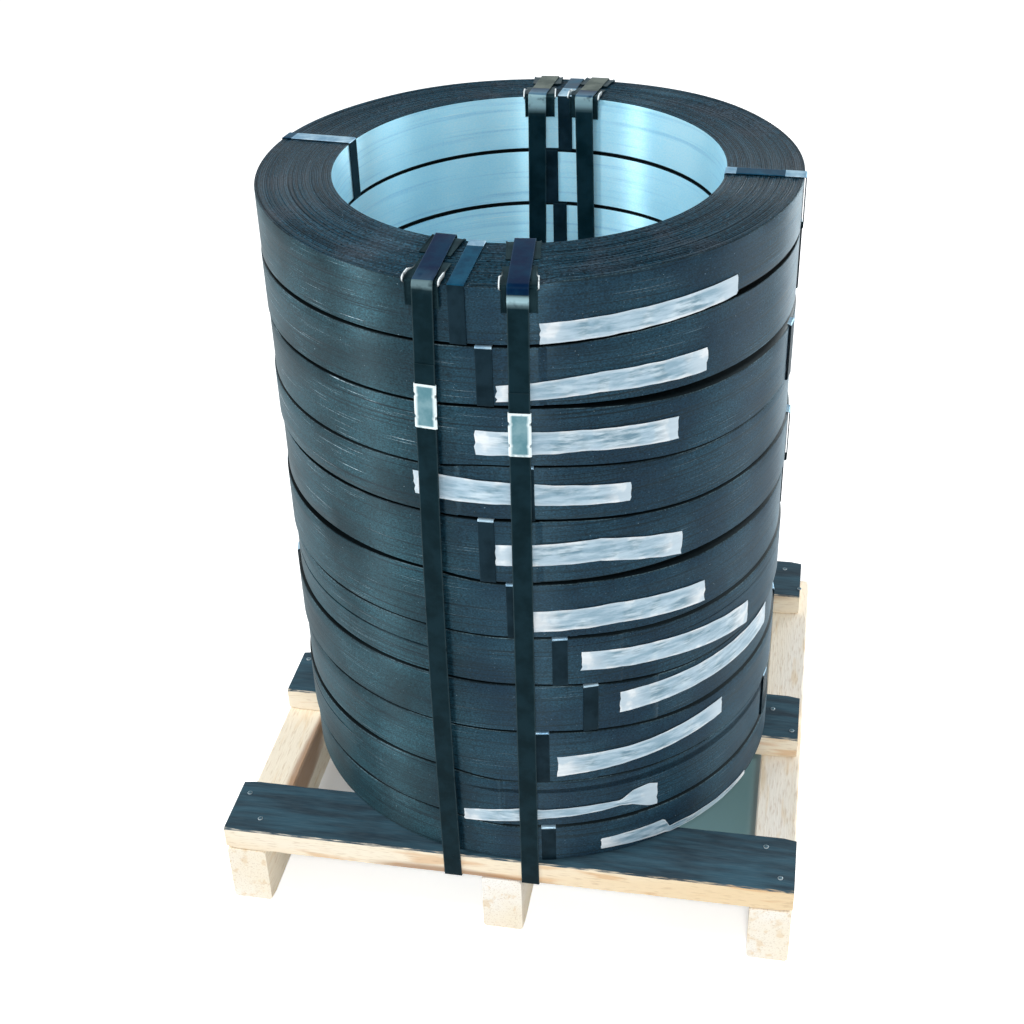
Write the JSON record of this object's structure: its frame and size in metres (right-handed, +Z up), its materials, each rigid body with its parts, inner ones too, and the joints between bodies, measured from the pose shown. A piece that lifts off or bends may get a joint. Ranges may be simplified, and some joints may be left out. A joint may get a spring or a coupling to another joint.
{
  "type": "strapped stack of steel strapping coils on a pallet",
  "caption": "Ribbon-wound steel strapping coils stacked bore over bore and bound with steel straps, seals and edge protectors to a small timber pallet.",
  "frame": {"origin": "middle of the pallet's footprint, on the floor", "axes": "+Z up along the coils' axis, +X to the right along the deck boards, -Y to the front, where the tapes are"},
  "size_m": [0.52, 0.5016, 0.6596],
  "materials": {
    "coil_steel": "dark blued and waxed, satin",
    "tie_steel": "black paint, satin",
    "strap_steel": "black paint, satin",
    "zinc": "zinc plated, dull",
    "tape": "crinkled adhesive tape",
    "stained_wood": "sawn, top stained dark, edges raw",
    "raw_wood": "sawn, raw"
  },
  "bodies": {
    "root": {"coil_01": "coil_steel", "coil_01_ties": "tie_steel", "coil_01_tape": "tape", "coil_02": "coil_steel", "coil_02_ties": "tie_steel", "coil_02_tape": "tape", "coil_03": "coil_steel", "coil_03_ties": "tie_steel", "coil_03_tape": "tape", "coil_04": "coil_steel", "coil_04_ties": "tie_steel", "coil_04_tape": "tape", "coil_05": "coil_steel", "coil_05_ties": "tie_steel", "coil_05_tape": "tape", "coil_06": "coil_steel", "coil_06_ties": "tie_steel", "coil_06_tape": "tape", "coil_07": "coil_steel", "coil_07_ties": "tie_steel", "coil_07_tape": "tape", "coil_08": "coil_steel", "coil_08_ties": "tie_steel", "coil_08_tape": "tape", "coil_09": "coil_steel", "coil_09_ties": "tie_steel", "coil_09_tape": "tape", "coil_10": "coil_steel", "coil_10_ties": "tie_steel", "coil_10_tape": "tape", "coil_11": "coil_steel", "coil_11_ties": "tie_steel", "coil_11_tape": "tape", "binding_strap_front_left": "strap_steel", "strap_seal_front_left": "zinc", "edge_protector_front_left_outer": "zinc", "edge_protector_front_left_bore": "zinc", "binding_strap_front_right": "strap_steel", "strap_seal_front_right": "zinc", "edge_protector_front_right_outer": "zinc", "edge_protector_front_right_bore": "zinc", "binding_strap_back_left": "strap_steel", "strap_seal_back_left": "zinc", "edge_protector_back_left_outer": "zinc", "edge_protector_back_left_bore": "zinc", "binding_strap_back_right": "strap_steel", "strap_seal_back_right": "zinc", "edge_protector_back_right_outer": "zinc", "edge_protector_back_right_bore": "zinc", "deck_board_front": "stained_wood", "deck_board_middle": "stained_wood", "deck_board_back": "stained_wood", "stringer_left": "raw_wood", "stringer_centre": "raw_wood", "stringer_right": "raw_wood"}
  },
  "joints": []
}
